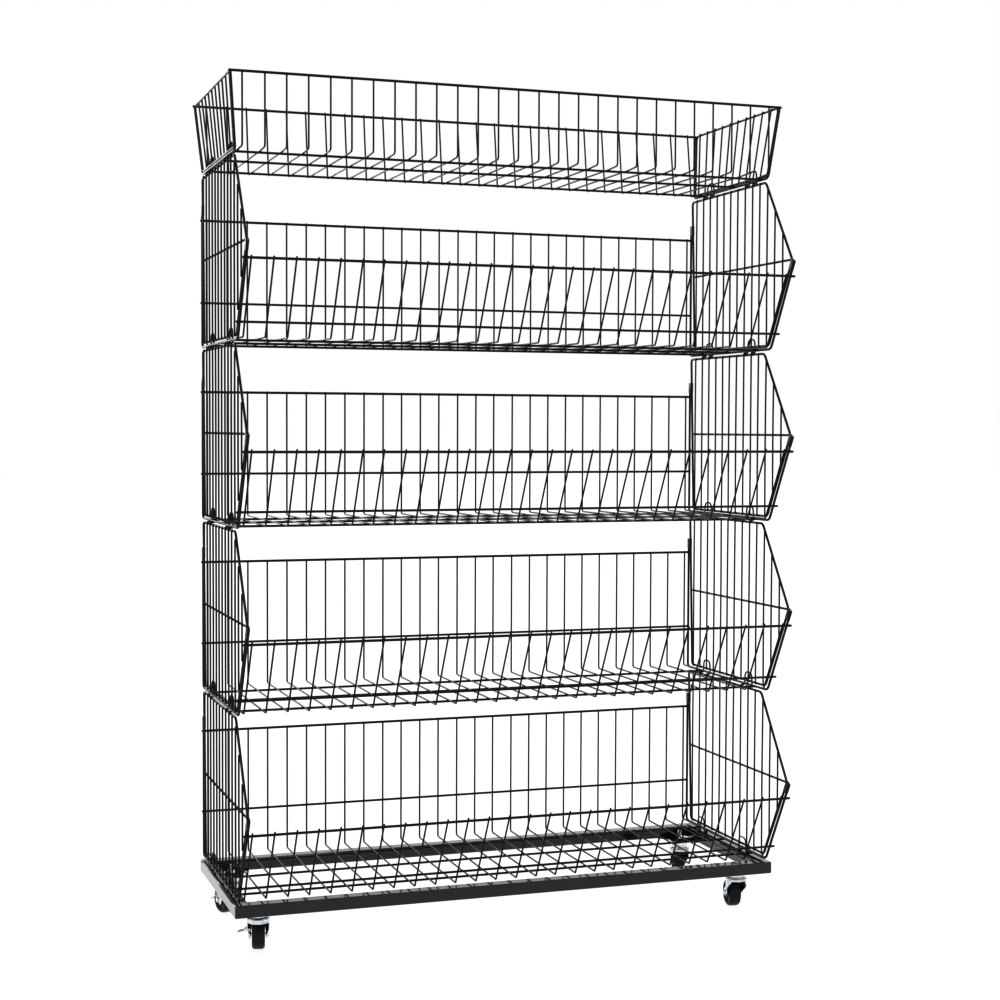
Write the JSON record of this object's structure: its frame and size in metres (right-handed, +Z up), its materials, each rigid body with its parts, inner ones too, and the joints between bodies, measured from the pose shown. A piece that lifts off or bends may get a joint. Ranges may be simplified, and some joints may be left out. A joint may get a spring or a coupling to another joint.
{
  "type": "rolling display rack",
  "caption": "Rolling wire display rack: stacked open-front baskets under a shallow tray, on a tube base with swivel casters and side brakes.",
  "frame": {"origin": "on the floor, under the middle of the rack's outline seen from above", "axes": "+Z up, +X along the base's long side, -Y out of the open basket fronts"},
  "size_m": [1.0168, 0.447, 1.4862],
  "materials": {
    "black_powder_coat": "satin black powder coat",
    "charcoal_powder_coat": "semi-gloss charcoal powder coat",
    "zinc_plate": "bright zinc plate",
    "black_wheel": "matte black"
  },
  "bodies": {
    "rack": {"base_tube_front": "charcoal_powder_coat", "base_tube_back": "charcoal_powder_coat", "base_tube_left": "charcoal_powder_coat", "base_tube_right": "charcoal_powder_coat", "corner_plate_front_left": "black_powder_coat", "caster_stem_front_left": "zinc_plate", "stem_nut_front_left": "zinc_plate", "corner_plate_front_right": "black_powder_coat", "caster_stem_front_right": "zinc_plate", "stem_nut_front_right": "zinc_plate", "corner_plate_back_left": "black_powder_coat", "caster_stem_back_left": "zinc_plate", "stem_nut_back_left": "zinc_plate", "corner_plate_back_right": "black_powder_coat", "caster_stem_back_right": "zinc_plate", "stem_nut_back_right": "zinc_plate", "basket_tier_5": "black_powder_coat", "side_panel_tier_5_left": "black_powder_coat", "side_panel_tier_5_right": "black_powder_coat", "basket_tier_4": "black_powder_coat", "side_panel_tier_4_left": "black_powder_coat", "side_panel_tier_4_right": "black_powder_coat", "basket_tier_3": "black_powder_coat", "side_panel_tier_3_left": "black_powder_coat", "side_panel_tier_3_right": "black_powder_coat", "basket_tier_2": "black_powder_coat", "side_panel_tier_2_left": "black_powder_coat", "side_panel_tier_2_right": "black_powder_coat", "top_basket": "black_powder_coat", "top_basket_side_left": "black_powder_coat", "top_basket_side_right": "black_powder_coat"},
    "fork_front_left": {"caster_fork_front_left": "zinc_plate", "caster_axle_front_left": "zinc_plate"},
    "wheel_front_left": {"caster_wheel_front_left": "black_wheel"},
    "lever_front_left": {"brake_lever_front_left": "zinc_plate"},
    "fork_front_right": {"caster_fork_front_right": "zinc_plate", "caster_axle_front_right": "zinc_plate"},
    "wheel_front_right": {"caster_wheel_front_right": "black_wheel"},
    "fork_back_left": {"caster_fork_back_left": "zinc_plate", "caster_axle_back_left": "zinc_plate"},
    "wheel_back_left": {"caster_wheel_back_left": "black_wheel"},
    "lever_back_left": {"brake_lever_back_left": "zinc_plate"},
    "fork_back_right": {"caster_fork_back_right": "zinc_plate", "caster_axle_back_right": "zinc_plate"},
    "wheel_back_right": {"caster_wheel_back_right": "black_wheel"}
  },
  "joints": [
    {"name": "swivel_front_left", "type": "hinge", "parent": "rack", "child": "fork_front_left", "pos_m": [-0.4515, -0.09316, 0.06], "axis": [0, 0, 1], "continuous": true},
    {"name": "roll_front_left", "type": "hinge", "parent": "fork_front_left", "child": "wheel_front_left", "pos_m": [-0.44651, -0.06968, 0.025], "axis": [0.9781, -0.2079, 0], "continuous": true},
    {"name": "brake_front_left", "type": "hinge", "parent": "fork_front_left", "child": "lever_front_left", "pos_m": [-0.46571, -0.07583, 0.0375], "axis": [-0.2079, -0.9781, 0], "range_deg": [0, 18]},
    {"name": "swivel_front_right", "type": "hinge", "parent": "rack", "child": "fork_front_right", "pos_m": [0.4515, -0.09316, 0.06], "axis": [0, 0, 1], "continuous": true},
    {"name": "roll_front_right", "type": "hinge", "parent": "fork_front_right", "child": "wheel_front_right", "pos_m": [0.45505, -0.06942, 0.025], "axis": [0.989, -0.1478, 0], "continuous": true},
    {"name": "swivel_back_left", "type": "hinge", "parent": "rack", "child": "fork_back_left", "pos_m": [-0.4515, 0.15884, 0.06], "axis": [0, 0, 1], "continuous": true},
    {"name": "roll_back_left", "type": "hinge", "parent": "fork_back_left", "child": "wheel_back_left", "pos_m": [-0.45872, 0.18173, 0.025], "axis": [0.9537, 0.3007, 0], "continuous": true},
    {"name": "brake_back_left", "type": "hinge", "parent": "fork_back_left", "child": "lever_back_left", "pos_m": [-0.4724, 0.16693, 0.0375], "axis": [0.3007, -0.9537, 0], "range_deg": [0, 18]},
    {"name": "swivel_back_right", "type": "hinge", "parent": "rack", "child": "fork_back_right", "pos_m": [0.4515, 0.15884, 0.06], "axis": [0, 0, 1], "continuous": true},
    {"name": "roll_back_right", "type": "hinge", "parent": "fork_back_right", "child": "wheel_back_right", "pos_m": [0.45892, 0.18166, 0.025], "axis": [0.9511, -0.309, 0], "continuous": true}
  ]
}
